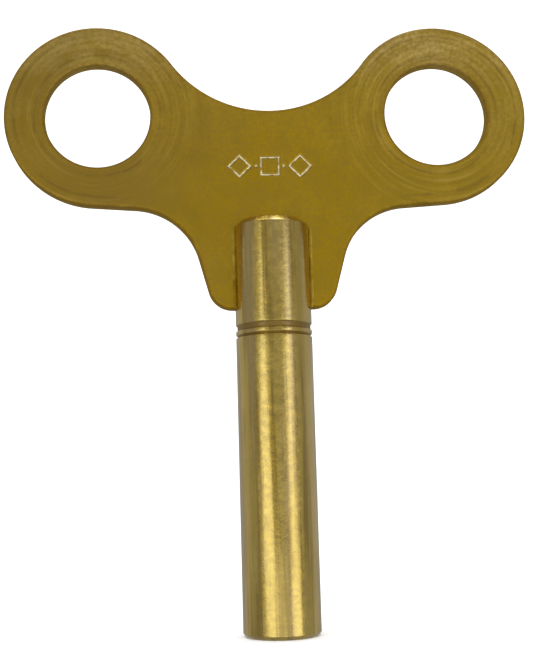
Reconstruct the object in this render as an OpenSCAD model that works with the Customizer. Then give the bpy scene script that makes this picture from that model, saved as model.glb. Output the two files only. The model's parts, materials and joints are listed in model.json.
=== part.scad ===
// Double-wing clock winding key: a flat brass wing brazed into the slotted end of a turned brass barrel.
// Frame: origin at the centre of the barrel's mouth, +Z from the mouth towards the wing,
// the wing's plate lies in the XZ plane and its marked face looks along -Y. All sizes are in mm.

/* [Wing plate] */
// Thickness of the wing's plate
plate_t = 1.5; // [1.2:0.1:2.4]
// Distance of each finger loop's centre from the key's axis
loop_x = 17.1; // [16.5:0.1:18.5]
// Height of the loop centres above the barrel's mouth
loop_z = 51.1; // [50:0.1:53]
// Outer radius of each finger loop
loop_r = 9.2; // [8.6:0.1:9.6]
// Radius of each finger hole
hole_r = 5.25; // [4.5:0.05:6]
// Bevel that eases the edge of each finger hole
hole_bevel = 0.15; // [0.1:0.05:0.4]
// Height of the saddle's lowest point above the loop centres
saddle_rise = 0.5; // [0:0.1:1.5]
// Slope of the edge under each loop, falling towards the neck (degrees)
under_slope = 3.9; // [2:0.1:6]
// Radius of the hollow between the edge under the loop and the neck
neck_r = 6.9; // [6:0.1:7.5]
// Half width of the neck at its foot
neck_foot_x = 5.84; // [5.5:0.01:6.5]
// Slope of the neck's sides away from the vertical (degrees)
neck_slope = 15.4; // [13:0.1:17]
// Height of the neck's foot, which rests on the bottom of the barrel's slot
foot_z = 31.4; // [31:0.1:32.5]
// Radius of each rounded lobe at the neck's foot
lobe_r = 2.4; // [1.2:0.1:2.6]

/* [Punched size mark] */
// Height of the mark's centre above the barrel's mouth
mark_z = 45.8; // [44.5:0.1:47]
// Height of the largest sign
mark_h = 2.6; // [1.8:0.1:3]
// Distance from the square's centre to each lozenge's centre
mark_pitch = 3.04; // [2.8:0.02:3.4]
// Width of the punched line
mark_line = 0.32; // [0.2:0.01:0.4]
// Depth of the punching
mark_depth = 0.18; // [0.1:0.01:0.3]

/* [Barrel] */
// Outer diameter of the barrel
barrel_d = 7.5; // [7.2:0.1:8.5]
// Length of the barrel
barrel_len = 40.2; // [39.5:0.1:42]
// Chamfer at the slotted end
top_chamfer = 0.55; // [0.3:0.05:0.8]
// Chamfer round the mouth
mouth_chamfer = 0.35; // [0.2:0.05:0.5]
// Height of the wide upper ring groove's middle
wide_groove_z = 29.5; // [29.3:0.05:29.8]
// Width of the wide upper ring groove
wide_groove_w = 0.7; // [0.4:0.05:0.8]
// Depth of the wide upper ring groove
wide_groove_depth = 0.14; // [0.1:0.01:0.25]
// Height of the narrow lower ring groove's middle
fine_groove_z = 28.68; // [28.4:0.01:28.8]
// Width of the narrow lower ring groove
fine_groove_w = 0.36; // [0.3:0.01:0.4]
// Depth of the narrow lower ring groove
fine_groove_depth = 0.2; // [0.1:0.01:0.3]

/* [Winding socket] */
// Width across the flats of the square socket
socket_w = 3.75; // [3:0.05:4]
// Depth of the square socket
socket_depth = 13; // [10:0.5:16]
// Depth of the drilled hole that relieves the square
drill_depth = 20; // [18:0.5:24]
// Drill's oversize beyond the square's width
drill_oversize = 0.1; // [0.05:0.05:0.2]
// Diameter of the countersink at the mouth
countersink_d = 5.7; // [5.6:0.1:6]

/* [Brazed seams] */
// Radius of the hollow face of each bead beside the barrel
braze_r = 0.5; // [0.3:0.05:0.8]
// Radius of the hollow face of each bead on the barrel's slotted end
braze_end_r = 0.35; // [0.2:0.05:0.6]

/* [Hidden] */

$fn = 96;
eps = 0.01;
sides = [-1, 1];

barrel_r = barrel_d / 2;
drill_r = (socket_w + drill_oversize) / 2;
// Half the angle of the drill's point
drill_tip_angle = 59;
countersink_r = countersink_d / 2;

// The saddle is an arc on the key's axis that meets both loops tangentially
saddle_r = (loop_x * loop_x + saddle_rise * saddle_rise - loop_r * loop_r)
           / (2 * (loop_r - saddle_rise));
saddle_cz = loop_z + saddle_rise + saddle_r;
saddle_span = loop_r + saddle_r;
saddle_touch = [loop_x - loop_r * loop_x / saddle_span,
                loop_z + loop_r * (saddle_cz - loop_z) / saddle_span];

// Unit directions: along the edge under the right loop, inwards, and down the neck's right side
under_dir = [-cos(under_slope), -sin(under_slope)];
neck_dir = [-sin(neck_slope), -cos(neck_slope)];
// Outward normal of the edge under the loop
under_out = [sin(under_slope), -cos(under_slope)];

// The edge under the loop leaves it where the two touch, sunk by a hair so that they cross cleanly
sink = 0.003;
under_start = [loop_x, loop_z] + (loop_r - sink) * under_out;
neck_foot = [neck_foot_x, foot_z];

// Corner where the two edges would meet, and the tangent hollow that fills it
gap = neck_foot - under_start;
turn = under_dir.x * neck_dir.y - under_dir.y * neck_dir.x;
under_len = (gap.x * neck_dir.y - gap.y * neck_dir.x) / turn;
neck_corner = under_start + under_len * under_dir;
neck_turn = acos(under_dir * neck_dir);
neck_run = neck_r * tan(neck_turn / 2);
neck_touch_top = neck_corner - neck_run * under_dir;
neck_touch_low = neck_corner + neck_run * neck_dir;
neck_centre = neck_touch_top + neck_r * under_out;

// Rounded lobe at the neck's foot
lobe_turn = acos(neck_dir * [-1, 0]);
lobe_run = lobe_r * tan(lobe_turn / 2);
lobe_touch_side = neck_foot - lobe_run * neck_dir;
lobe_touch_foot = neck_foot + lobe_run * [-1, 0];
lobe_centre = lobe_touch_foot + [0, lobe_r];

// Right half of the wing's body between the loop and the foot, with arcs left as corners at their centres
body_right = [
    saddle_touch,
    [loop_x, loop_z],
    under_start,
    neck_touch_top,
    neck_centre,
    neck_touch_low,
    lobe_touch_side,
    lobe_centre,
    lobe_touch_foot
];

function mirrored(points) = [for (i = [len(points) - 1 : -1 : 0]) [-points[i].x, points[i].y]];

// Stands a drawing of the XZ plane up as a plate of thickness t, centred on the plane Y = y
module upright(t, y = 0) {
    translate([0, y, 0]) rotate([90, 0, 0]) linear_extrude(height = t, center = true) children();
}

// Bare plate: the body between the loops and the foot, with its arcs cut and added as true cylinders
module wing_blank() {
    difference() {
        union() {
            upright(plate_t) polygon(concat(body_right, mirrored(body_right), [[0, saddle_cz]]));
            for (s = sides) translate([s * loop_x, 0, loop_z]) upright(plate_t) circle(r = loop_r);
            for (s = sides) translate([s * lobe_centre.x, 0, lobe_centre.y])
                upright(plate_t) circle(r = lobe_r);
        }
        translate([0, 0, saddle_cz]) upright(2 * plate_t) circle(r = saddle_r);
        for (s = sides) translate([s * neck_centre.x, 0, neck_centre.y])
            upright(2 * plate_t) circle(r = neck_r);
    }
}

// Finger hole with an eased edge on both faces
module finger_hole() {
    rotate([90, 0, 0]) cylinder(r = hole_r, h = 2 * plate_t, center = true);
    for (s = sides) rotate([s * 90, 0, 0]) translate([0, 0, plate_t / 2 - hole_bevel])
        cylinder(r1 = hole_r, r2 = hole_r + hole_bevel + eps, h = hole_bevel + eps);
}

// Hollow square, seen from its own centre
module hollow_square(w) {
    difference() {
        square(w, center = true);
        square(w - 2 * mark_line, center = true);
    }
}

// Generic size mark: a square between two lozenges, with a point between each pair
module mark_outline() {
    square_w = 0.8 * mark_h;
    point_x = (mark_pitch - mark_h / 2 + square_w / 2) / 2;
    hollow_square(square_w);
    for (s = sides) {
        translate([s * mark_pitch, 0]) rotate(45) hollow_square(mark_h / sqrt(2));
        translate([s * point_x, 0]) rotate(45) square(0.9 * mark_line, center = true);
    }
}

module wing_plate() {
    color([0.72, 0.58, 0.16]) difference() {
        wing_blank();
        for (s = sides) translate([s * loop_x, 0, loop_z]) finger_hole();
        translate([0, 0, mark_z]) upright(2 * mark_depth, -plate_t / 2) mark_outline();
    }
}

// Half profile of the turned barrel, radius against height
module barrel_profile() {
    polygon([
        [0, 0],
        [barrel_r - mouth_chamfer, 0],
        [barrel_r, mouth_chamfer],
        [barrel_r, fine_groove_z - fine_groove_w / 2],
        [barrel_r - fine_groove_depth, fine_groove_z],
        [barrel_r, fine_groove_z + fine_groove_w / 2],
        [barrel_r, wide_groove_z - wide_groove_w / 2],
        [barrel_r - wide_groove_depth, wide_groove_z - wide_groove_w / 2 + wide_groove_depth],
        [barrel_r - wide_groove_depth, wide_groove_z + wide_groove_w / 2 - wide_groove_depth],
        [barrel_r, wide_groove_z + wide_groove_w / 2],
        [barrel_r, barrel_len - top_chamfer],
        [barrel_r - top_chamfer, barrel_len],
        [0, barrel_len]
    ]);
}

// Square socket, the drilled hole behind it and the 45 degree countersink at the mouth
module winding_socket() {
    drill_tip = drill_r / tan(drill_tip_angle);
    translate([-socket_w / 2, -socket_w / 2, -eps]) cube([socket_w, socket_w, socket_depth + eps]);
    translate([0, 0, -eps]) cylinder(r = drill_r, h = drill_depth + eps);
    translate([0, 0, drill_depth]) cylinder(r1 = drill_r, r2 = 0, h = drill_tip);
    translate([0, 0, -eps]) cylinder(r1 = countersink_r + eps, r2 = 0, h = countersink_r + eps);
}

module barrel() {
    color([0.83, 0.69, 0.28]) difference() {
        rotate_extrude() barrel_profile();
        winding_socket();
        translate([-barrel_r - 1, -plate_t / 2, foot_z])
            cube([barrel_d + 2, plate_t, barrel_len]);
    }
}

// Bead in the front right corner between barrel and plate; its hollow face touches both tangentially
module side_bead() {
    bead_x = sqrt(pow(barrel_r + braze_r, 2) - pow(plate_t / 2 + braze_r, 2));
    bead_y = -plate_t / 2 - braze_r;
    seam_x = sqrt(barrel_r * barrel_r - plate_t * plate_t / 4);
    barrel_touch = [bead_x, bead_y] * barrel_r / (barrel_r + braze_r);
    bead_end = barrel_len - top_chamfer;
    translate([0, 0, foot_z]) linear_extrude(height = bead_end - foot_z) difference() {
        polygon([[seam_x, -plate_t / 2], [bead_x, -plate_t / 2], [bead_x, bead_y], barrel_touch]);
        translate([bead_x, bead_y]) circle(r = braze_r);
        circle(r = barrel_r);
    }
}

// Bead along the front corner between the plate and the flat of the barrel's slotted end
module end_bead() {
    intersection() {
        translate([0, -plate_t / 2, barrel_len]) rotate([90, 0, -90])
            linear_extrude(height = barrel_d, center = true) difference() {
                square(braze_end_r);
                translate([braze_end_r, braze_end_r]) circle(r = braze_end_r);
            }
        cylinder(r = barrel_r - top_chamfer, h = 2 * barrel_len);
    }
}

// Places a front right bead on the wanted face, with side 1 for right and -1 for left
module braze(side, face) {
    color([0.62, 0.47, 0.14])
        mirror([side < 0 ? 1 : 0, 0, 0]) mirror([0, face > 0 ? 1 : 0, 0]) children();
}

wing_plate();
barrel();
braze(-1, -1) side_bead();  // braze_front_left
braze(1, -1) side_bead();  // braze_front_right
braze(1, -1) end_bead();  // braze_front_top
braze(-1, 1) side_bead();  // braze_back_left
braze(1, 1) side_bead();  // braze_back_right
braze(1, 1) end_bead();  // braze_back_top
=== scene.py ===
import json
import math

import bmesh
import bpy
import numpy as np
from mathutils import Matrix, Vector, noise
from mathutils.geometry import delaunay_2d_cdt


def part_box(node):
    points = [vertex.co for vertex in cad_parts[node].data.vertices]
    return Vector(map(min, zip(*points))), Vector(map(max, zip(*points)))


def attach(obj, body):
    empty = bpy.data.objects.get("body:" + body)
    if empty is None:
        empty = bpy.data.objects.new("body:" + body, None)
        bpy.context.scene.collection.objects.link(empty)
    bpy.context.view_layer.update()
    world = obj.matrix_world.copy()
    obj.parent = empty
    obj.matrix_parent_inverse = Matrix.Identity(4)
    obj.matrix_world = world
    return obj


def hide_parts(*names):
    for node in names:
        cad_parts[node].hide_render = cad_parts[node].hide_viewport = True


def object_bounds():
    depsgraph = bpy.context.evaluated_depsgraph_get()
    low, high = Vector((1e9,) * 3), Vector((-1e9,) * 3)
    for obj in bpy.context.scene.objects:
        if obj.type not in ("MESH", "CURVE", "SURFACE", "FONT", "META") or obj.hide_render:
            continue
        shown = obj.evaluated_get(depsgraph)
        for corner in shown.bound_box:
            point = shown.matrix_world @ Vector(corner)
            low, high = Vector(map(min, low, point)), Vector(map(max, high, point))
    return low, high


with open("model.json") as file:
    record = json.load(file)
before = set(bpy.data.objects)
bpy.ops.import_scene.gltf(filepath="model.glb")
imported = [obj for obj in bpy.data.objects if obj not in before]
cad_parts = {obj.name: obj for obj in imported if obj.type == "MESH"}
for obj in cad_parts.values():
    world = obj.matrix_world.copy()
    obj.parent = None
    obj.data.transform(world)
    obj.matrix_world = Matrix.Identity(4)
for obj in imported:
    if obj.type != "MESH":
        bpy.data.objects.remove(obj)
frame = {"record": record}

CAD_LOW, CAD_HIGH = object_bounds()
MM = 0.001

# ---------------------------------------------------------------- sizes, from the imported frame

MOUNTS = {m["name"]: m for m in frame["record"]["mounts"]}
WING_LOW, WING_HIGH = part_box("wing_plate")
BARREL_LOW, BARREL_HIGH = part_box("barrel")

HOLE = MOUNTS["finger_hole_right"]
LOOP_X = HOLE["pos_m"][0]
LOOP_Z = HOLE["pos_m"][2]
HOLE_R = HOLE["dims"]["r_mm"] * MM
LOOP_R = WING_HIGH.x - LOOP_X
HALF_T = (WING_HIGH.y - WING_LOW.y) / 2
FOOT_Z = WING_LOW.z
BARREL_R = BARREL_HIGH.x
BARREL_LEN = BARREL_HIGH.z

# ---------------------------------------------------------------- sizes that the boxes don't give

SADDLE_RISE = 0.5 * MM
UNDER_SLOPE = math.radians(3.9)
NECK_R = 6.9 * MM
NECK_FOOT_X = 5.84 * MM
NECK_SLOPE = math.radians(15.4)
LOBE_R = 2.4 * MM

MARK_Z = 45.8 * MM
MARK_H = 2.6 * MM
MARK_PITCH = 3.04 * MM
MARK_LINE = 0.32 * MM
MARK_DEPTH = 0.16 * MM
MARK_LIP = 0.02 * MM    # metal pushed up beside each punched line

TOP_CHAMFER = 0.55 * MM
MOUTH_CHAMFER = 0.35 * MM
WIDE_GROOVE = (29.5 * MM, 0.7 * MM, 0.14 * MM)      # height, width, depth
FINE_GROOVE = (28.68 * MM, 0.36 * MM, 0.2 * MM)

SOCKET_HALF = 3.75 * MM / 2
SOCKET_DEPTH = 13 * MM
DRILL_R = 3.85 * MM / 2
DRILL_DEPTH = 20 * MM
DRILL_TIP = DRILL_R / math.tan(math.radians(59))
COUNTERSINK_R = 2.85 * MM

BRAZE_R = 0.5 * MM
BRAZE_END_R = 0.35 * MM


# ---------------------------------------------------------------- mesh helpers

def wobble(x, y, z, scale, seed=0.0):
    """Smooth noise from -1 to 1 whose lumps are about scale metres across."""
    return noise.noise(Vector((x / scale + seed, y / scale - seed, z / scale + 2 * seed)))


def make_piece(name, verts, faces, material, replaced, attributes=None, sharp=None):
    """A smooth-shaded mesh object that rides on the key and stands for the CAD nodes in replaced."""
    mesh = bpy.data.meshes.new(name)
    mesh.from_pydata([tuple(v) for v in verts], [], faces)
    for key, values in (attributes or {}).items():
        layer = mesh.attributes.new(key, "FLOAT", "POINT")
        layer.data.foreach_set("value", np.asarray(values, np.float32))
    bm = bmesh.new()
    bm.from_mesh(mesh)
    bmesh.ops.recalc_face_normals(bm, faces=bm.faces)
    bm.to_mesh(mesh)
    bm.free()
    mesh.polygons.foreach_set("use_smooth", [True] * len(mesh.polygons))
    if sharp:
        mesh.set_sharp_from_angle(angle=math.radians(sharp))
    mesh.materials.append(material)
    piece = bpy.data.objects.new(name, mesh)
    bpy.context.scene.collection.objects.link(piece)
    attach(piece, "root")
    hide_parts(replaced)
    return piece


def strip(a, b, closed=True):
    """Quads between two rings of vertex numbers."""
    n = len(a)
    return [(a[i], a[(i + 1) % n], b[(i + 1) % n], b[i]) for i in range(n if closed else n - 1)]


# ---------------------------------------------------------------- wing plate

OUTLINE_STEP = 0.22 * MM
EDGE_R = 0.22 * MM      # worn rounding of every edge
EDGE_STEPS = 6
RIM_W = 0.2 * MM        # band of even mesh beside the rounding


def arc(centre, radius, start, end, outward):
    """Points of an arc and their outward normals; outward is -1 for a hollow."""
    count = max(3, int(abs(end - start) * radius / OUTLINE_STEP))
    angles = np.linspace(start, end, count + 1)
    spokes = np.c_[np.cos(angles), np.sin(angles)]
    return np.array(centre) + radius * spokes, outward * spokes


def line(start, end, normal):
    """Points of a straight stretch, without its two ends."""
    start, end = np.array(start), np.array(end)
    count = max(2, int(np.linalg.norm(end - start) / OUTLINE_STEP))
    shares = np.linspace(0, 1, count + 1)[1:-1, None]
    return start + shares * (end - start), np.repeat([normal], count - 1, axis=0)


def wing_outline():
    """The wing's outline in the XZ plane: saddle, loop, edge under the loop, hollow, neck, lobe, foot."""
    saddle_r = (LOOP_X ** 2 + SADDLE_RISE ** 2 - LOOP_R ** 2) / (2 * (LOOP_R - SADDLE_RISE))
    saddle_cz = LOOP_Z + SADDLE_RISE + saddle_r
    to_saddle = math.atan2(saddle_cz - LOOP_Z, -LOOP_X)

    under_dir = np.array([-math.cos(UNDER_SLOPE), -math.sin(UNDER_SLOPE)])
    under_out = np.array([math.sin(UNDER_SLOPE), -math.cos(UNDER_SLOPE)])
    neck_dir = np.array([-math.sin(NECK_SLOPE), -math.cos(NECK_SLOPE)])
    neck_out = np.array([math.cos(NECK_SLOPE), -math.sin(NECK_SLOPE)])
    under_start = np.array([LOOP_X, LOOP_Z]) + LOOP_R * under_out
    neck_foot = np.array([NECK_FOOT_X, FOOT_Z])
    along = np.linalg.solve(np.c_[under_dir, -neck_dir], neck_foot - under_start)[0]
    corner = under_start + along * under_dir
    neck_run = NECK_R * math.tan(math.acos(under_dir @ neck_dir) / 2)
    hollow_start = corner - neck_run * under_dir
    hollow_end = corner + neck_run * neck_dir
    hollow_centre = hollow_start + NECK_R * under_out

    lobe_run = LOBE_R * math.tan(math.acos(-neck_dir[0]) / 2)
    lobe_start = neck_foot - lobe_run * neck_dir
    lobe_end = neck_foot - [lobe_run, 0]
    lobe_centre = lobe_end + [0, LOBE_R]

    hollow_from = math.atan2(-under_out[1], -under_out[0])
    hollow_to = math.atan2(-neck_out[1], -neck_out[0])
    hollow_to += 2 * math.pi * round((hollow_from - hollow_to) / (2 * math.pi))
    half = [
        arc((0, saddle_cz), saddle_r, -math.pi / 2, to_saddle - math.pi, -1),
        arc((LOOP_X, LOOP_Z), LOOP_R, to_saddle, UNDER_SLOPE - math.pi / 2, 1),
        line(under_start, hollow_start, under_out),
        arc(hollow_centre, NECK_R, hollow_from, hollow_to, -1),
        line(hollow_end, lobe_start, neck_out),
        arc(lobe_centre, LOBE_R, -NECK_SLOPE, -math.pi / 2, 1),
        line(lobe_end, (0, FOOT_Z), (0, -1)),
    ]
    half[1] = (half[1][0][1:], half[1][1][1:])
    points = np.vstack([p for p, _ in half] + [[[0, FOOT_Z]]])
    normals = np.vstack([n for _, n in half] + [[[0, -1]]])
    mirror = np.array([-1, 1])
    return (np.vstack([points, points[-2:0:-1] * mirror]),
            np.vstack([normals, normals[-2:0:-1] * mirror]))


def hole_outline(side):
    """The rim of a finger hole, whose outward normals point into the hole."""
    rim, spokes = arc((side * LOOP_X, LOOP_Z), HOLE_R, 0, 2 * math.pi, 1)
    return rim[:-1], -spokes[:-1]


def distance_to(points, loop):
    """Distance from each point to a closed loop."""
    a, b = loop, np.roll(loop, -1, axis=0)
    d = b - a
    w = points[:, None] - a[None]
    t = np.clip((w * d).sum(2) / (d * d).sum(1), 0, 1)
    return np.linalg.norm(w - t[..., None] * d, axis=2).min(1)


def inside(points, loop):
    """Whether each point lies inside a closed loop."""
    x, z = points[:, :1], points[:, 1:]
    x0, z0 = loop[:, 0], loop[:, 1]
    x1, z1 = np.roll(x0, -1), np.roll(z0, -1)
    crosses = (z0 > z) != (z1 > z)
    rise = np.where(z1 == z0, 1, z1 - z0)
    return (crosses & (x < (x1 - x0) * (z - z0) / rise + x0)).sum(1) % 2 == 1


def lattice(low, high, pitch):
    """Rows of points in a rectangle, each row shifted by half a pitch."""
    rows = np.arange(low[1], high[1], pitch * math.sqrt(3) / 2)
    return np.array([(x + (k % 2) * pitch / 2, z)
                     for k, z in enumerate(rows) for x in np.arange(low[0], high[0], pitch)])


MARK_REACH = (4.9 * MM, 1.75 * MM)      # half width and half height of the finely meshed patch
MARK_GRID = 0.085 * MM
MARK_MARGIN = 0.3 * MM  # gap between the fine lattice and the coarse one
FACE_GRID = 0.55 * MM
FACE_WAVE = 5e-3 * MM   # waviness of the plate's faces


def face_points(outer, holes):
    """Points inside the plate's face: a coarse lattice, and a fine one where the mark is punched."""
    coarse = lattice((-LOOP_X - LOOP_R, FOOT_Z), (LOOP_X + LOOP_R, LOOP_Z + LOOP_R), FACE_GRID)
    in_mark = (abs(coarse[:, 0]) < MARK_REACH[0] + MARK_MARGIN) & (
        abs(coarse[:, 1] - MARK_Z) < MARK_REACH[1] + MARK_MARGIN)
    fine = lattice((-MARK_REACH[0], MARK_Z - MARK_REACH[1]), (MARK_REACH[0], MARK_Z + MARK_REACH[1]),
                   MARK_GRID)
    points = np.vstack([coarse[~in_mark], fine])
    keep = inside(points, outer) & (distance_to(points, outer) > RIM_W)
    for hole in holes:
        keep &= ~inside(points, hole) & (distance_to(points, hole) > RIM_W)
    return points[keep]


def triangles(loops, points):
    """Triangles that fill the first loop but not the others, as indices into loops then points."""
    every = np.vstack(loops + [points])
    edges, first = [], 0
    for loop in loops:
        n = len(loop)
        edges += [(first + i, first + (i + 1) % n) for i in range(n)]
        first += n
    scaled = [Vector(p / MM) for p in every]
    _, _, faces, origin, _, _ = delaunay_2d_cdt(scaled, edges, [], 0, 1e-6)
    number = [o[0] for o in origin]
    faces = np.array([[number[i] for i in f] for f in faces])
    middles = every[faces].mean(1)
    keep = inside(middles, loops[0])
    for hole in loops[1:]:
        keep &= ~inside(middles, hole)
    return faces[keep]


def from_square(x, z, width):
    """Distance from the outline of a square about the origin, negative inside it."""
    return max(abs(x), abs(z)) - width / 2


def from_lozenge(x, z, width):
    """Distance from the outline of a lozenge width across about the origin, negative inside it."""
    return (abs(x) + abs(z) - width / 2) / math.sqrt(2)


def mark_relief(x, z):
    """Depth of the punched mark at a point, and how strongly the punch burnished it, which the material
    also paints as a pale highlight.
    """
    half_line = MARK_LINE / 2
    z = z - MARK_Z
    x_side = abs(x)
    square_w = 0.8 * MARK_H
    point_x = (MARK_PITCH - MARK_H / 2 + square_w / 2) / 2
    away = min(
        abs(from_square(x, z, square_w) + half_line),
        abs(from_lozenge(x_side - MARK_PITCH, z, MARK_H) + half_line),
        from_lozenge(x_side - point_x, z, 0.25 * MARK_LINE),
    )
    away = max(away, 0)
    uneven = 0.8 + 0.45 * wobble(x, 0, z, 0.5 * MM, 5)
    cut = max(0, 1 - away / half_line)
    cut = cut * cut * (3 - 2 * cut)
    lip = math.exp(-((away - 1.25 * half_line) / (0.5 * half_line)) ** 2)
    return (MARK_DEPTH * cut - MARK_LIP * lip) * uneven, cut * min(1, max(0, 1.6 * uneven - 0.7))


def build_wing(material):
    outlines = [wing_outline(), hole_outline(-1), hole_outline(1)]
    turns = [step / EDGE_STEPS * math.pi / 2 for step in range(EDGE_STEPS + 1)]
    steps = [(EDGE_R * (1 - math.cos(turn)), EDGE_R * (1 - math.sin(turn))) for turn in turns]
    steps.append((EDGE_R + RIM_W, 0))
    verts, faces, from_edge = [], [], []
    rings, punched = {}, {}
    for face in (-1, 1):
        for k, (points, normals) in enumerate(outlines):
            for step, (inset, drop) in enumerate(steps):
                first = len(verts)
                verts += [(x, face * (HALF_T - drop), z) for x, z in points - inset * normals]
                from_edge += [inset / MM] * len(points)
                rings[face, k, step] = range(first, len(verts))
                if step:
                    faces += strip(rings[face, k, step - 1], rings[face, k, step])
    for k in range(3):
        faces += strip(rings[-1, k, 0], rings[1, k, 0])
    loops = [points - (EDGE_R + RIM_W) * normals for points, normals in outlines]
    fill = face_points(loops[0], loops[1:])
    pattern = triangles(loops, fill)
    fill_edge = (np.minimum.reduce([distance_to(fill, loop) for loop in loops]) + EDGE_R + RIM_W) / MM
    for face in (-1, 1):
        numbers = [i for k in range(3) for i in rings[face, k, len(steps) - 1]]
        first = len(verts)
        from_edge += list(fill_edge)
        for x, z in fill:
            y = face * (HALF_T + FACE_WAVE * (wobble(x, 0, z, 5 * MM, 1.5 + face) - 1))
            if face < 0:
                depth, burnish_and_glint = mark_relief(x, z)
                y += depth
                punched[len(verts)] = burnish_and_glint
            verts.append((x, y, z))
        numbers += range(first, len(verts))
        faces += [tuple(numbers[i] for i in tri) for tri in pattern]
    burnish_and_glint = [punched.get(i, 0) for i in range(len(verts))]
    return make_piece("brass_wing", verts, faces, material, "wing_plate",
                      {"from_edge": from_edge, "punched": burnish_and_glint})


# ---------------------------------------------------------------- barrel

SEAM_TO_CORNER = 17     # steps from a slot edge to the nearest corner of the square socket
CORNER_TO_CORNER = 48   # steps from one corner of the socket to the next
SLOT_STEPS = 14         # steps across the slot's width
RING_PITCH = 0.2 * MM
MOUTH_FLAT = 0.2 * MM   # flat rings that the profile starts and ends with
TOP_FLAT = 0.12 * MM
BEND_R = 0.06 * MM      # rounding of the profile's corners
SKIN_WAVES = ((2.6e-3 * MM, 1.3 * MM, 2.2, 3), (1.3e-3 * MM, 0.5 * MM, 1, 7))   # depth, size, stretch, seed
DRILL_MESH_R = DRILL_R * 0.999          # a hair under, so that the step at the square's end has width
TINY = 1e-7


def rounded(points, radius, steps=4):
    """A polyline with each inner corner rounded to radius."""
    made = [np.array(points[0])]
    for before, here, after in zip(points, points[1:], points[2:]):
        before, here, after = np.array(before), np.array(here), np.array(after)
        a, b = before - here, after - here
        la, lb = np.linalg.norm(a), np.linalg.norm(b)
        bend = math.acos(np.clip(a @ b / la / lb, -1, 1))
        run = min(radius / math.tan(bend / 2), 0.45 * la, 0.45 * lb)
        start, end = here + a / la * run, here + b / lb * run
        for t in np.linspace(0, 1, steps + 1):
            made.append((1 - t) ** 2 * start + 2 * t * (1 - t) * here + t * t * end)
    made.append(np.array(points[-1]))
    return made


def barrel_profile():
    """Radius and height of each outer ring, from the mouth's flat to the slotted end's flat."""
    wide_z, wide_w, wide_d = WIDE_GROOVE
    fine_z, fine_w, fine_d = FINE_GROOVE
    corners = [
        (BARREL_R - MOUTH_CHAMFER - MOUTH_FLAT, 0),
        (BARREL_R - MOUTH_CHAMFER, 0),
        (BARREL_R, MOUTH_CHAMFER),
        (BARREL_R, fine_z - fine_w / 2),
        (BARREL_R - fine_d, fine_z),
        (BARREL_R, fine_z + fine_w / 2),
        (BARREL_R, wide_z - wide_w / 2),
        (BARREL_R - wide_d, wide_z - wide_w / 2 + wide_d),
        (BARREL_R - wide_d, wide_z + wide_w / 2 - wide_d),
        (BARREL_R, wide_z + wide_w / 2),
        (BARREL_R, FOOT_Z),
        (BARREL_R, BARREL_LEN - TOP_CHAMFER),
        (BARREL_R - TOP_CHAMFER, BARREL_LEN),
        (BARREL_R - TOP_CHAMFER - TOP_FLAT, BARREL_LEN),
    ]
    rings = []
    bends = rounded(corners, BEND_R)
    for a, b in zip(bends, bends[1:]):
        count = max(1, int(np.linalg.norm(b - a) / RING_PITCH))
        rings += [a + (b - a) * k / count for k in range(count)]
    rings.append(bends[-1])
    clean = [rings[0]]
    for ring in rings[1:]:
        if np.linalg.norm(ring - clean[-1]) > TINY:
            clean.append(ring)
    return clean


def seam_arc(radius):
    """Angles of the front half of a ring, from the slot's left edge to its right edge."""
    seam = math.asin(HALF_T / radius)
    keys = [seam - math.pi, -0.75 * math.pi, -0.25 * math.pi, -seam]
    counts = [SEAM_TO_CORNER, CORNER_TO_CORNER, SEAM_TO_CORNER]
    angles = [keys[0]]
    for a, b, n in zip(keys, keys[1:], counts):
        angles += list(np.linspace(a, b, n + 1)[1:])
    return angles


def full_ring(radius):
    """Angles of a whole ring: front half, slot's right width, back half, slot's left width."""
    seam = math.asin(HALF_T / radius)
    front = seam_arc(radius)
    across = list(np.linspace(-seam, seam, SLOT_STEPS + 1)[1:-1])
    return front + across + [a + math.pi for a in front] + [a + math.pi for a in across]


def barrel_skin(x, y, z):
    """How far the hand-polished skin lies inside a true cylinder, as a negative length."""
    return sum(depth * (wobble(x, y, z / stretch, size, seed) - 1)
               for depth, size, stretch, seed in SKIN_WAVES)


def socket_reach(angle):
    """Distance from the axis to the wall of the square socket, widened by the drilled hole."""
    return max(DRILL_R, SOCKET_HALF / max(abs(math.cos(angle)), abs(math.sin(angle))))


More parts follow.
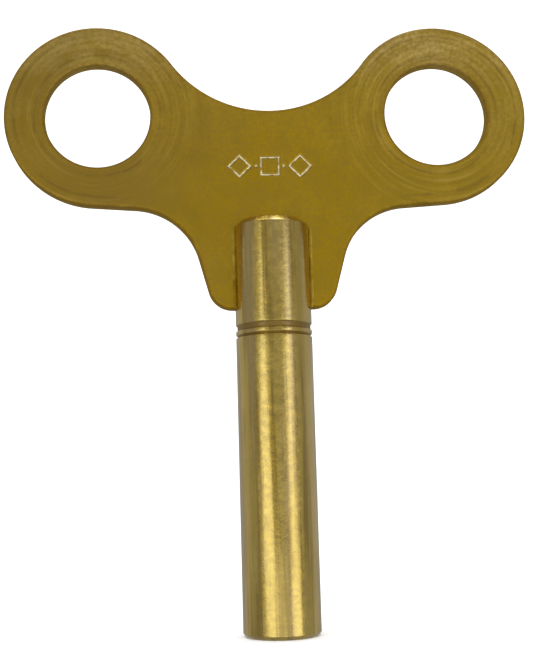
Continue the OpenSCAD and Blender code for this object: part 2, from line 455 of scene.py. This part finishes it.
def build_barrel(material):
    verts, faces = [], []

    def ring(angles, radius, z, skin=True):
        first = len(verts)
        for a in angles:
            r = radius(a) if callable(radius) else radius
            h = z(a) if callable(z) else z
            x, y = r * math.cos(a), r * math.sin(a)
            if skin:
                r += barrel_skin(x, y, h)
                x, y = r * math.cos(a), r * math.sin(a)
            verts.append((x, y, h))
        return list(range(first, len(verts)))

    half = SEAM_TO_CORNER * 2 + CORNER_TO_CORNER + 1
    whole = full_ring(BARREL_R)
    last, slotted = None, False
    for radius, z in barrel_profile():
        below_slot = z < FOOT_Z + TINY
        if below_slot:
            here = ring(whole, radius, z)
            if last:
                faces += strip(last, here)
            else:
                mouth = here
            last = here
            continue
        if not slotted:
            slotted = True
            front_start = len(seam_arc(BARREL_R)) + SLOT_STEPS - 1
            front, back = last[:half], last[front_start:front_start + half]
            faces.append(tuple(last[half - 1:front_start + 1] + last[front_start + half - 1:] + [last[0]]))
        angles = seam_arc(radius)
        front_here = ring(angles, radius, z)
        back_here = ring([a + math.pi for a in angles], radius, z)
        for old, new in ((front, front_here), (back, back_here)):
            for k in (0, -1):
                x, y, h = verts[new[k]]
                verts[new[k]] = (x, math.copysign(HALF_T, y), h)
            faces += strip(old, new, closed=False)
            faces.append((old[-1], old[0], new[0], new[-1]))
        front, back = front_here, back_here
    faces += [tuple(front), tuple(back)]

    lip = ring(whole, COUNTERSINK_R, 0, skin=False)
    throat = ring(whole, socket_reach, lambda a: COUNTERSINK_R - socket_reach(a), skin=False)
    step = ring(whole, socket_reach, SOCKET_DEPTH, skin=False)
    drill = ring(whole, DRILL_MESH_R, SOCKET_DEPTH, skin=False)
    floor = ring(whole, DRILL_MESH_R, DRILL_DEPTH, skin=False)
    for a, b in zip((mouth, lip, throat, step, drill), (lip, throat, step, drill, floor)):
        faces += strip(a, b)
    tip = len(verts)
    verts.append((0, 0, DRILL_DEPTH + DRILL_TIP))
    faces += [(a, b, tip) for a, b in zip(floor, floor[1:] + floor[:1])]

    heights = np.array(verts)[:, 2]
    radii = np.hypot(*np.array(verts)[:, :2].T)
    sunk = np.clip((BARREL_R - 0.02 * MM - radii) / (0.1 * MM), 0, 1)
    in_groove = sunk * (heights > FINE_GROOVE[0] - 0.5 * MM) * (heights < WIDE_GROOVE[0] + 0.6 * MM)
    return make_piece("brass_barrel", verts, faces, material, "barrel",
                      {"groove": in_groove}, sharp=38)


# ---------------------------------------------------------------- brazed seams

BEAD_PITCH = 0.12 * MM
BEAD_SIDES = 7
BEAD_SINK = 0.03 * MM
BEAD_GAP = 0.02 * MM    # the side beads stop this far short of the seam's ends


def bead_section(size, tangent_a, tangent_b, centre, corner):
    """Points of a hollow fillet: its sunk corner, then the curve from one metal face to the other."""
    start = math.atan2(*(tangent_a - centre)[::-1])
    end = math.atan2(*(tangent_b - centre)[::-1])
    end += 2 * math.pi * round((start - end) / (2 * math.pi))
    angles = np.linspace(start, end, BEAD_SIDES)
    curve = centre + size * np.c_[np.cos(angles), np.sin(angles)]
    return np.vstack([[corner], curve])


def side_section(size):
    """Section of a bead beside the barrel, front right, in the XY plane."""
    centre = np.array([math.sqrt((BARREL_R + size) ** 2 - (HALF_T + size) ** 2), -HALF_T - size])
    on_plate = np.array([centre[0], -HALF_T])
    on_barrel = centre * BARREL_R / (BARREL_R + size)
    seam = np.array([math.sqrt(BARREL_R ** 2 - HALF_T ** 2) - BEAD_SINK, -HALF_T + BEAD_SINK])
    return bead_section(size, on_plate, on_barrel, centre, seam)


def end_section(size):
    """Section of the bead on the barrel's slotted end, front side, in the YZ plane."""
    centre = np.array([-HALF_T - size, BARREL_LEN + size])
    return bead_section(size, centre + [size, 0], centre - [0, size], centre,
                        np.array([-HALF_T + BEAD_SINK, BARREL_LEN - BEAD_SINK]))


def build_bead(name, node, stations, place, material):
    """Sweeps a bead through stations of (size, distance along the seam)."""
    verts, rings = [], []
    for section, along in stations:
        rings.append(list(range(len(verts), len(verts) + len(section))))
        verts += [place(p[0], p[1], along) for p in section]
    faces = [tuple(rings[0]), tuple(rings[-1])]
    for a, b in zip(rings, rings[1:]):
        faces += strip(a, b)
    return make_piece(name, verts, faces, material, node, sharp=50)


def bead_size(base, share, seed):
    """Bead radius at a share of its length: uneven, and drawn in at both ends."""
    taper = min(1, 0.35 + 9 * share, 0.35 + 9 * (1 - share))
    return base * taper * (0.8 + 0.2 * noise.noise(Vector((share * 9, seed, 0))))


def build_beads(material):
    length = BARREL_LEN - TOP_CHAMFER - FOOT_Z
    seed = 0
    for face, face_name in ((-1, "front"), (1, "back")):
        for side, side_name in ((-1, "left"), (1, "right")):
            seed += 1
            count = int(length / BEAD_PITCH)
            shares = [k / count for k in range(count + 1)]
            stations = [(side_section(bead_size(BRAZE_R, s, seed)),
                         FOOT_Z + BEAD_GAP + s * (length - 2 * BEAD_GAP)) for s in shares]
            build_bead(f"bead_{face_name}_{side_name}", f"braze_{face_name}_{side_name}", stations,
                       lambda x, y, h, face=face, side=side: (side * x, -face * y, h), material)
        seed += 1
        reach = math.sqrt((BARREL_R - TOP_CHAMFER) ** 2 - (HALF_T + BRAZE_END_R) ** 2)
        count = int(2 * reach / BEAD_PITCH)
        stations = [(end_section(bead_size(BRAZE_END_R, k / count, seed)), -reach + 2 * reach * k / count)
                    for k in range(count + 1)]
        build_bead(f"bead_{face_name}_top", f"braze_{face_name}_top", stations,
                   lambda y, z, along, face=face: (along, -face * y, z), material)


# ---------------------------------------------------------------- materials

class Shader:
    """A small builder for one node material."""

    def __init__(self, name):
        self.material = bpy.data.materials.new(name)
        self.material.use_nodes = True
        self.tree = self.material.node_tree
        self.tree.nodes.clear()
        self.output = self.tree.nodes.new("ShaderNodeOutputMaterial")

    def node(self, kind, values=None, **settings):
        made = self.tree.nodes.new("ShaderNode" + kind)
        for key, value in settings.items():
            setattr(made, key, value)
        for key, value in (values or {}).items():
            if isinstance(value, bpy.types.NodeSocket):
                self.tree.links.new(value, made.inputs[key])
            else:
                made.inputs[key].default_value = value
        return made

    def math(self, operation, a, b=0.0, c=0.0):
        return self.node("Math", {0: a, 1: b, 2: c}, operation=operation).outputs[0]

    def times(self, a, b):
        return self.math("MULTIPLY", a, b)

    def plus(self, a, b):
        return self.math("ADD", a, b)

    def minus(self, a, b):
        return self.math("SUBTRACT", a, b)

    def ramp(self, value, low, high, out_low=0.0, out_high=1.0):
        """A smooth step from out_low to out_high as value goes from low to high."""
        made = self.node("MapRange", {"Value": value, "From Min": low, "From Max": high, "To Min": out_low,
                                      "To Max": out_high}, interpolation_type="SMOOTHSTEP")
        return made.outputs["Result"]

    def noise(self, vector, scale, detail=3.0, roughness=0.5):
        made = self.node("TexNoise", {"Vector": vector, "Scale": scale, "Detail": detail,
                                      "Roughness": roughness})
        return made.outputs["Fac"]

    def mix(self, factor, a, b):
        """Colour a, turning into the plain colour b as factor rises."""
        return self.node("Mix", {0: factor, 6: a, 7: (*b, 1)}, data_type="RGBA").outputs[2]

    def stretch(self, *parts):
        """A vector of three parts, each a value and the factor it is multiplied by."""
        return self.node("CombineXYZ", dict(enumerate(self.times(*part) for part in parts))).outputs[0]

    def attribute(self, name):
        return self.node("Attribute", attribute_name=name).outputs["Fac"]

    def object_place(self):
        """The object's own coordinates, as a vector and as x, y and z."""
        place = self.node("TexCoord").outputs["Object"]
        return place, *self.node("SeparateXYZ", {0: place}).outputs[:3]

    def bump(self, height, distance, normal=None):
        values = {"Height": height, "Distance": distance, "Strength": 1.0}
        if normal is not None:
            values["Normal"] = normal
        return self.node("Bump", values).outputs[0]

    def finish(self, values):
        shader = self.node("BsdfPrincipled", values)
        self.tree.links.new(shader.outputs[0], self.output.inputs[0])
        return self.material


def wing_material():
    """Satin brass plate: polishing arcs round each loop, mottled olive gold, paler towards the top, with
    painted shade in a ring inside each loop and along every edge, and a painted highlight on the punched
    mark.
    """
    s = Shader("satin_brass")
    place, x, y, z = s.object_place()
    from_edge = s.attribute("from_edge")
    punched = s.attribute("punched")
    side = s.math("ABSOLUTE", x)

    # Distance from the nearer loop's centre, the coordinate that polishing arcs follow
    off_x = s.minus(side, LOOP_X)
    off_z = s.minus(z, LOOP_Z)
    reach = s.math("SQRT", s.plus(s.times(off_x, off_x), s.times(off_z, off_z)))
    in_loop = s.ramp(reach, 0.0128, 0.0082)
    arc_lines = s.noise(s.stretch((reach, 2200.0), (x, 90.0), (z, 90.0)), 1.0, 4.0, 0.65)
    grain = s.noise(s.stretch((x, 900.0), (y, 900.0), (z, 450.0)), 1.0, 4.0, 0.6)
    lines = s.node("Mix", {0: in_loop, 2: grain, 3: arc_lines}).outputs[0]
    clouds = s.noise(place, 210.0, 4.0, 0.6)
    patches = s.noise(place, 420.0, 3.0, 0.6)
    specks = s.noise(place, 2600.0, 3.0, 0.65)

    # The loops' outer and upper parts are paler and greyer, the top paler still and the lower outer parts
    # darker; the middle keeps a deeper gold
    paler_outward = s.plus(s.times(side, 35.0), s.times(s.minus(z, 0.042), 62.0))
    paler_outward = s.ramp(paler_outward, 0.2, 1.7)
    tone = s.mix(paler_outward, (0.59, 0.36, 0.0035, 1), (0.58, 0.4, 0.072))
    top = s.times(s.ramp(z, 0.0535, 0.0585), s.ramp(patches, 0.3, 0.6, 0.5, 1.0))
    tone = s.mix(top, tone, (0.82, 0.62, 0.24))
    low = s.times(s.ramp(side, 0.002, 0.012), s.ramp(z, 0.0475, 0.0435))
    tone = s.mix(s.times(low, 0.6), tone, (0.48, 0.315, 0.025))

    # Mottling, from broad clouds down to fine specks
    tone = s.mix(s.ramp(clouds, 0.36, 0.66, 0.0, 0.5), tone, (0.67, 0.44, 0.035))
    tone = s.mix(s.ramp(patches, 0.42, 0.64, 0.0, 0.55), tone, (0.44, 0.295, 0.017))
    tone = s.mix(s.ramp(specks, 0.34, 0.66, 0.0, 0.65), tone, (0.44, 0.295, 0.04))
    light_line = s.times(s.ramp(lines, 0.48, 0.3), s.times(in_loop, 0.4))
    tone = s.mix(light_line, tone, (0.78, 0.56, 0.14))
    shade = s.times(s.ramp(lines, 0.42, 0.64), s.math("MULTIPLY_ADD", in_loop, 0.29, 0.15))
    tone = s.mix(shade, tone, (0.35, 0.225, 0.04))
    # Darker brown blotches, stronger towards the left side
    blotches = s.times(s.ramp(s.noise(place, 95.0, 2.0), 0.35, 0.68), s.ramp(x, 0.008, -0.02))
    tone = s.mix(s.times(blotches, 0.5), tone, (0.39, 0.25, 0.06))

    # Each loop carries a broken dark ring of painted shade about a millimetre inside its edges, and every
    # edge is painted a little brown, also as painted shade
    wander = s.math("MULTIPLY_ADD", clouds, 0.8, 0.55)
    painted_dark_ring = s.ramp(s.math("ABSOLUTE", s.minus(from_edge, wander)), 0.25, 0.0)
    painted_dark_ring = s.times(s.times(painted_dark_ring, s.ramp(reach, 0.0095, 0.0085)), s.ramp(patches, 0.35, 0.6))
    tone = s.mix(s.times(painted_dark_ring, 0.5), tone, (0.27, 0.17, 0.045))
    # painted shade: every edge is darkened towards brown
    tone = s.mix(s.ramp(from_edge, 0.3, 0.0, 0.0, 0.25), tone, (0.32, 0.21, 0.055))
    # painted highlight: the punched mark is painted pale cream where it is burnished
    tone = s.mix(s.ramp(punched, 0.0, 0.6), tone, (1.0, 0.92, 0.62))

    rough = s.ramp(lines, 0.3, 0.75, 0.34, 0.48)
    rough = s.plus(rough, s.ramp(specks, 0.35, 0.65, 0.0, 0.08))
    rough = s.plus(rough, s.ramp(from_edge, 0.45, 0.1, 0.0, 0.3))
    rough = s.minus(rough, s.times(punched, 0.26))
    relief = s.bump(patches, 6e-6)
    relief = s.bump(lines, 2.4e-6, relief)
    relief = s.bump(specks, 3.4e-6, relief)
    relief = s.bump(s.noise(place, 2600.0, 2.0), s.times(punched, 9e-5), relief)
    return s.finish({"Base Color": tone, "Metallic": 1.0, "Roughness": rough, "Normal": relief})


def barrel_material():
    """Bright turned brass: fine turning lines, handling scratches and small dents that sparkle, with
    painted reflections as dark and pale vertical bands.
    """
    s = Shader("bright_brass")
    place, x, y, z = s.object_place()
    groove = s.attribute("groove")

    along = s.noise(s.stretch((x, 1100.0), (y, 1100.0), (z, 45.0)), 1.0, 3.0, 0.6)
    turned = s.noise(s.stretch((x, 60.0), (y, 60.0), (z, 4000.0)), 1.0, 2.0, 0.5)
    dents = s.noise(place, 1700.0, 2.0, 0.6)
    clouds = s.noise(place, 260.0, 3.0, 0.6)
    tone = s.mix(s.ramp(clouds, 0.35, 0.68), (0.62, 0.435, 0.05, 1), (0.7, 0.505, 0.085))
    # painted reflection: dark vertical bands down the barrel
    tone = s.mix(s.ramp(along, 0.46, 0.6, 0.0, 0.9), tone, (0.4, 0.26, 0.01))
    # painted sheen: pale vertical bands down the barrel
    painted_sheen_bands = s.noise(s.stretch((x, 600.0), (y, 600.0), (z, 25.0)), 1.0, 2.0, 0.5)
    tone = s.mix(s.ramp(painted_sheen_bands, 0.5, 0.66, 0.0, 0.45), tone, (0.72, 0.54, 0.24))
    tone = s.mix(s.times(groove, 0.85), tone, (0.3, 0.185, 0.04))
    rough = s.ramp(dents, 0.3, 0.7, 0.2, 0.34)
    rough = s.plus(rough, s.times(groove, 0.25))
    relief = s.bump(dents, 1.9e-5)
    relief = s.bump(turned, 0.8e-6, relief)
    relief = s.bump(along, 1.6e-6, relief)
    glaze = s.math("MULTIPLY_ADD", groove, -0.6, 1.0)
    return s.finish({"Base Color": tone, "Metallic": 1.0, "Roughness": rough, "Normal": relief,
                     "Coat Weight": glaze, "Coat Roughness": 0.15, "Coat IOR": 1.8})


def braze_material():
    """Dull brown-gold brazing alloy with flux stain."""
    s = Shader("braze_alloy")
    place = s.node("TexCoord").outputs["Object"]
    lumps = s.noise(place, 1500.0, 3.0, 0.6)
    blotches = s.noise(place, 500.0, 3.0, 0.6)
    tone = s.mix(s.ramp(blotches, 0.35, 0.68), (0.37, 0.235, 0.016, 1), (0.58, 0.41, 0.055))
    rough = s.ramp(lumps, 0.3, 0.7, 0.45, 0.65)
    relief = s.bump(lumps, 1.4e-5)
    return s.finish({"Base Color": tone, "Metallic": 1.0, "Roughness": rough, "Normal": relief})


# ---------------------------------------------------------------- the key

build_wing(wing_material())
build_barrel(barrel_material())
build_beads(braze_material())

# ---------------------------------------------------------------- floor, light and camera

FLOOR_SIZE = 6.0
ROOM = 0.33             # brightness of the room that the metal mirrors
WHITE = 1.35


def build_floor():
    mesh = bpy.data.meshes.new("studio_floor")
    h = FLOOR_SIZE / 2
    mesh.from_pydata([(-h, -h, CAD_LOW.z), (h, -h, CAD_LOW.z), (h, h, CAD_LOW.z), (-h, h, CAD_LOW.z)], [],
                     [(0, 1, 2, 3)])
    s = Shader("pale_floor")
    mesh.materials.append(s.finish({"Base Color": (0.9, 0.9, 0.9, 1), "Roughness": 0.9,
                                    "Specular IOR Level": 0.0}))
    floor = bpy.data.objects.new("studio_floor", mesh)
    bpy.context.scene.collection.objects.link(floor)
    floor.visible_glossy = False
    floor.visible_shadow = False


def build_world():
    """White to the eye and to the floor, and a dim grey room to the metal."""
    world = bpy.data.worlds.new("studio")
    bpy.context.scene.world = world
    world.use_nodes = True
    tree = world.node_tree
    tree.nodes.clear()
    new, link = tree.nodes.new, tree.links.new
    paths = new("ShaderNodeLightPath")
    room = new("ShaderNodeBackground")
    room.inputs["Color"].default_value = (1.0, 0.98, 0.93, 1)
    room.inputs["Strength"].default_value = ROOM
    white = new("ShaderNodeBackground")
    white.inputs["Color"].default_value = (1, 1, 1, 1)
    white.inputs["Strength"].default_value = WHITE
    pick = new("ShaderNodeMixShader")
    link(paths.outputs["Is Glossy Ray"], pick.inputs[0])
    link(white.outputs[0], pick.inputs[1])
    link(room.outputs[0], pick.inputs[2])
    out = new("ShaderNodeOutputWorld")
    link(pick.outputs[0], out.inputs[0])


def build_softbox(name, place, aim, width, tall, radiance, lean=0.0):
    """A rectangular soft light at place that faces aim, rolled by lean degrees."""
    light = bpy.data.lights.new(name, "AREA")
    light.shape = "RECTANGLE"
    light.size, light.size_y = width, tall
    light.energy = radiance * math.pi * width * tall
    lamp = bpy.data.objects.new(name, light)
    turn = (Vector(aim) - Vector(place)).to_track_quat("-Z", "Y").to_matrix() @ Matrix.Rotation(
        math.radians(lean), 3, "Z")
    pose = turn.to_4x4()
    pose.translation = place
    lamp.matrix_world = pose
    lamp.visible_camera = False
    bpy.context.scene.collection.objects.link(lamp)


def around(azimuth, height, distance=0.4):
    """A place azimuth degrees round from the key's front, positive to its right."""
    a = math.radians(azimuth)
    return (distance * math.sin(a), -distance * math.cos(a), height)


# Camera: aimed a little off the key's middle, slightly below it and looking up
AIM = Vector((-0.75 * MM, 0, 29.02 * MM))
DISTANCE = 108.5 * MM
LEAN = math.radians(-7.51)      # the key's lower end leans towards the camera
SWING = math.radians(4.03)      # its left wing is nearer
ROLL = math.radians(-1.58)
FOCAL_RATIO = 1.65              # focal length over the picture's height
SENSOR = 36.0


def build_camera():
    data = bpy.data.cameras.new("camera")
    data.sensor_width = SENSOR
    data.lens = FOCAL_RATIO * SENSOR
    data.clip_start, data.clip_end = 0.01, 20
    camera = bpy.data.objects.new("camera", data)
    turn = Matrix.Rotation(ROLL, 3, "Y") @ Matrix.Rotation(LEAN, 3, "X") @ Matrix.Rotation(SWING, 3, "Z")
    right, forward, up = turn.row[0], turn.row[1], turn.row[2]
    pose = Matrix((right, up, -forward)).transposed().to_4x4()
    pose.translation = AIM - DISTANCE * forward
    camera.matrix_world = pose
    bpy.context.scene.collection.objects.link(camera)
    bpy.context.scene.camera = camera


build_floor()
build_world()
build_softbox("softbox_left", around(-35, -0.035), (0, 0, -0.035), 0.18, 0.28, 1.22, lean=40)
build_softbox("softbox_right", around(40, -0.035), (0, 0, -0.035), 0.19, 0.28, 1.2, lean=19)
build_softbox("front_fill", around(0, -0.14), (0, 0, -0.14), 0.28, 0.24, 0.65)
build_softbox("front_top", around(13, 0.27, 0.36), (0, 0, 0.045), 0.22, 0.1, 0.9)
build_softbox("ceiling_left", (-0.13, 0.05, 0.42), (0, 0, 0.04), 0.09, 0.2, 4.0)
build_softbox("ceiling_right", (0.11, 0.05, 0.42), (0, 0, 0.04), 0.13, 0.2, 3.0)
build_softbox("side_left", around(-122, 0.05), (0, 0, 0.03), 0.35, 0.5, 0.09)
build_softbox("side_right", around(122, 0.05), (0, 0, 0.03), 0.35, 0.5, 0.09)
build_camera()
bpy.context.scene.view_settings.view_transform = "Standard"
